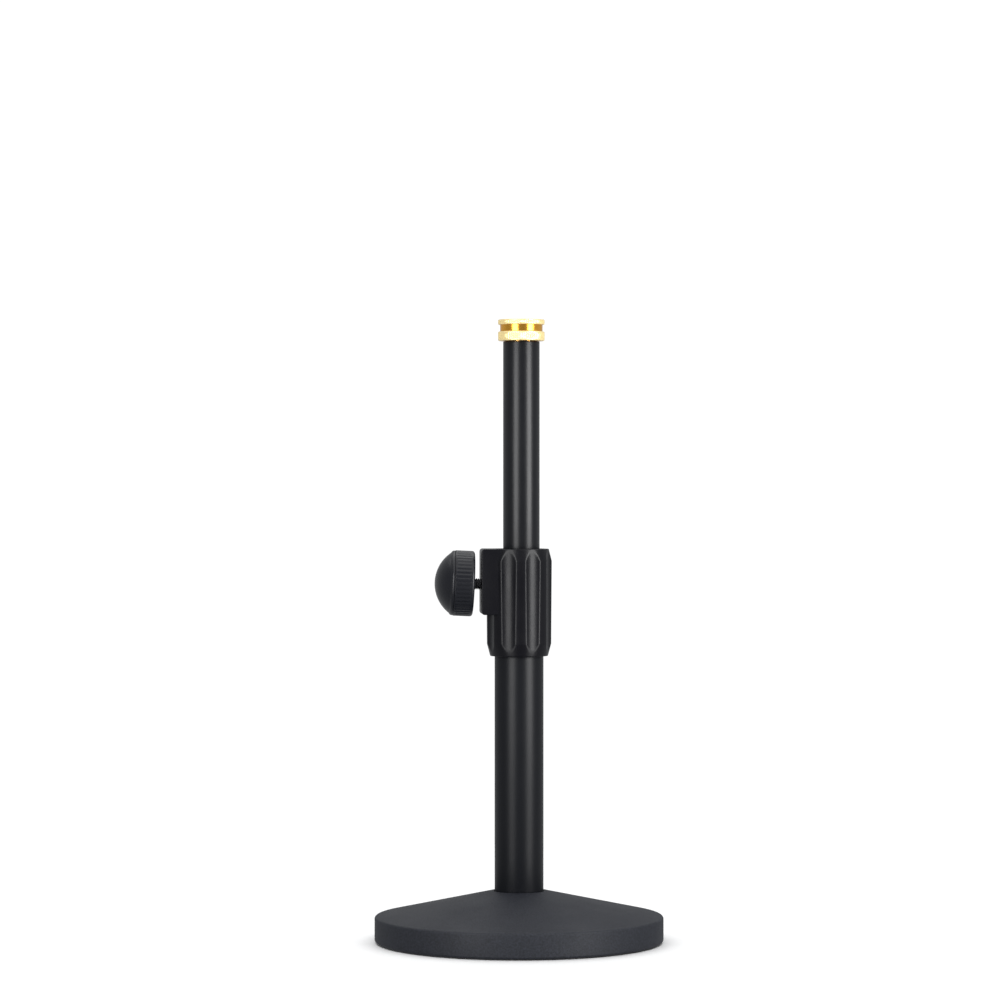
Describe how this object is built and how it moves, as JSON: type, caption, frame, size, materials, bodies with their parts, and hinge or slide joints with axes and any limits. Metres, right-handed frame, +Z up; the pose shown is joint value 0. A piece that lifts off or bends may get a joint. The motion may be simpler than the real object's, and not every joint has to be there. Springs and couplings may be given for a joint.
{
  "type": "desktop microphone stand",
  "caption": "Desktop microphone stand: heavy round conical base, lower tube, fluted clutch collar with a clamp knob, sliding upper tube and a brass thread end.",
  "frame": {"origin": "centre of the base's underside, on the table that the rubber feet stand on", "axes": "+Z up along the lower tube, -X towards the clamp knob, -Y towards the front"},
  "size_m": [0.15, 0.15, 0.3232],
  "materials": {
    "base_powder_coat": "cast iron with a fine textured dark grey powder coat, matt",
    "tube_black_coat": "satin black stoved paint on steel tube",
    "collar_plastic": "black moulded plastic, satin with a slight sheen",
    "knob_plastic": "black moulded plastic, satin",
    "foot_rubber": "black rubber, matt",
    "zinc_steel": "bright zinc plated steel",
    "black_steel": "blackened steel, slightly oily sheen",
    "shoe_nylon": "natural nylon, waxy",
    "brass": "bright turned brass, polished"
  },
  "bodies": {
    "stand": {"base_casting": "base_powder_coat", "foot_pad_1": "foot_rubber", "foot_pad_2": "foot_rubber", "foot_pad_3": "foot_rubber", "foot_pad_4": "foot_rubber", "base_bolt": "zinc_steel", "base_flat_washer": "zinc_steel", "base_spring_washer": "zinc_steel", "lower_tube_plug": "zinc_steel", "lower_tube": "tube_black_coat", "clutch_collar": "collar_plastic", "guide_bush": "collar_plastic", "collar_grub_screw": "black_steel", "clamp_nut": "zinc_steel"},
    "shoe": {"pressure_shoe": "shoe_nylon"},
    "knob": {"clamp_screw": "black_steel", "clamp_knob": "knob_plastic", "knob_cap": "knob_plastic"},
    "slide_cap": {"upper_tube_end_cap": "collar_plastic"},
    "column": {"upper_tube": "tube_black_coat", "thread_stud": "brass"},
    "ring": {"lock_ring": "brass"}
  },
  "joints": [
    {"name": "column_height", "type": "slide", "parent": "stand", "child": "slide_cap", "axis": [0, 0, 1], "range_m": [-0.105, 0.01]},
    {"name": "column_turn", "type": "hinge", "parent": "slide_cap", "child": "column", "pos_m": [0.0012, 0.00007, 0.2], "axis": [0, 0, 1], "continuous": true},
    {"name": "shoe_slide", "type": "slide", "parent": "stand", "child": "shoe", "axis": [-0.9972, -0.061, 0.0436], "range_m": [0, 0.002]},
    {"name": "knob_turn", "type": "hinge", "parent": "shoe", "child": "knob", "pos_m": [-0.01996, -0.00122, 0.1859], "axis": [-0.9972, -0.061, 0.0436], "range_deg": [0, 720]},
    {"name": "ring_turn", "type": "hinge", "parent": "column", "child": "ring", "pos_m": [0.0012, 0.00007, 0.318], "axis": [0, 0, 1], "range_deg": [0, 360]}
  ],
  "couplings": [
    {"joint": "shoe_slide", "follows": "knob_turn", "m_per_rad": 0.00015915}
  ]
}
